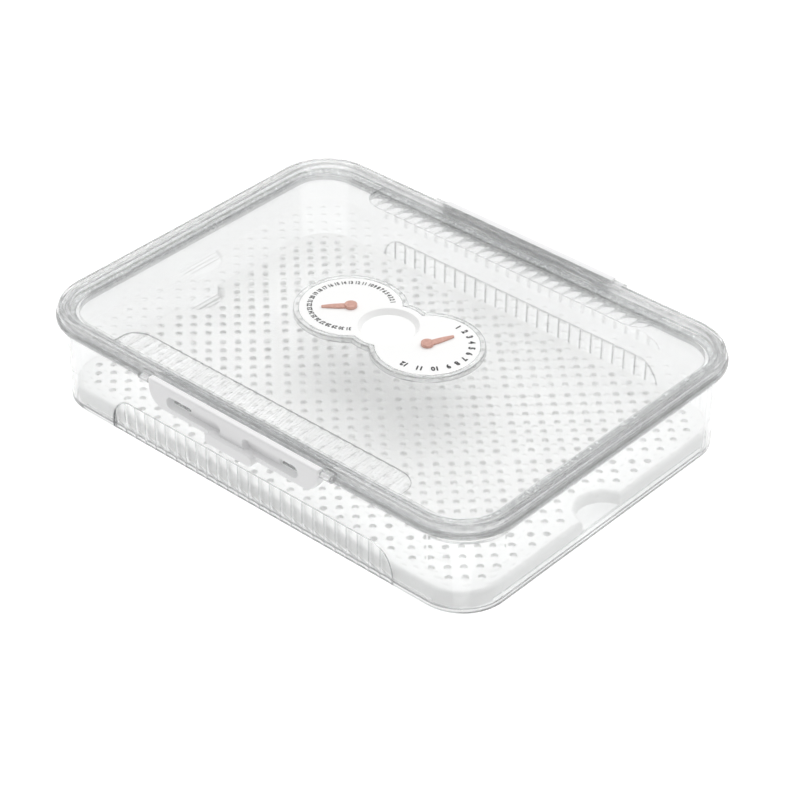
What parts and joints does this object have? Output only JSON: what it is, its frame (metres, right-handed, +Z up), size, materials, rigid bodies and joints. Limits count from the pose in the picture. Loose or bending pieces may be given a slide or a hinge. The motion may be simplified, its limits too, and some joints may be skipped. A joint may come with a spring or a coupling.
{
  "type": "stackable fridge keeper",
  "caption": "Shallow clear rectangular fridge keeper with a perforated drain tray, clear stacking lid, hinged side latches and a day and month dial.",
  "frame": {"origin": "centre of the underside of the foot ring", "axes": "+Z up, X along the long sides, Y along the short sides, front latch on -Y"},
  "size_m": [0.313, 0.2476, 0.061],
  "materials": {
    "clear_box": "clear polished",
    "clear_lid": "clear polished",
    "clear_silicone": "translucent satin",
    "white_tray": "satin",
    "white_dial": "satin",
    "white_latch": "satin",
    "copper_pointer": "rose copper"
  },
  "bodies": {
    "box": {"box_body": "clear_box"},
    "tray": {"drain_tray": "white_tray"},
    "lid": {"lid_shell": "clear_lid", "lid_seal": "clear_silicone", "dial_plate": "white_dial"},
    "day_hand": {"day_pointer": "copper_pointer"},
    "month_hand": {"month_pointer": "copper_pointer"},
    "front_latch": {"latch_front": "white_latch"},
    "rear_latch": {"latch_rear": "white_latch"}
  },
  "joints": [
    {"name": "lid_lift", "type": "slide", "parent": "box", "child": "lid", "axis": [0, 0, 1], "range_m": [0, 0.16]},
    {"name": "tray_lift", "type": "slide", "parent": "box", "child": "tray", "axis": [0, 0, 1], "range_m": [0, 0.08]},
    {"name": "front_latch_swing", "type": "hinge", "parent": "lid", "child": "front_latch", "pos_m": [0, -0.1184, 0.0562], "axis": [-1, 0, 0], "range_deg": [0, 90]},
    {"name": "rear_latch_swing", "type": "hinge", "parent": "lid", "child": "rear_latch", "pos_m": [0, 0.1184, 0.0562], "axis": [1, 0, 0], "range_deg": [0, 90]},
    {"name": "day_pointer_turn", "type": "hinge", "parent": "lid", "child": "day_hand", "pos_m": [-0.0275, 0, 0.0592], "axis": [0, 0, 1], "continuous": true},
    {"name": "month_pointer_turn", "type": "hinge", "parent": "lid", "child": "month_hand", "pos_m": [0.0275, 0, 0.0592], "axis": [0, 0, 1], "continuous": true}
  ],
  "couplings": [
    {"joint": "tray_lift", "follows": "lid_lift", "ratio": 0.5}
  ]
}
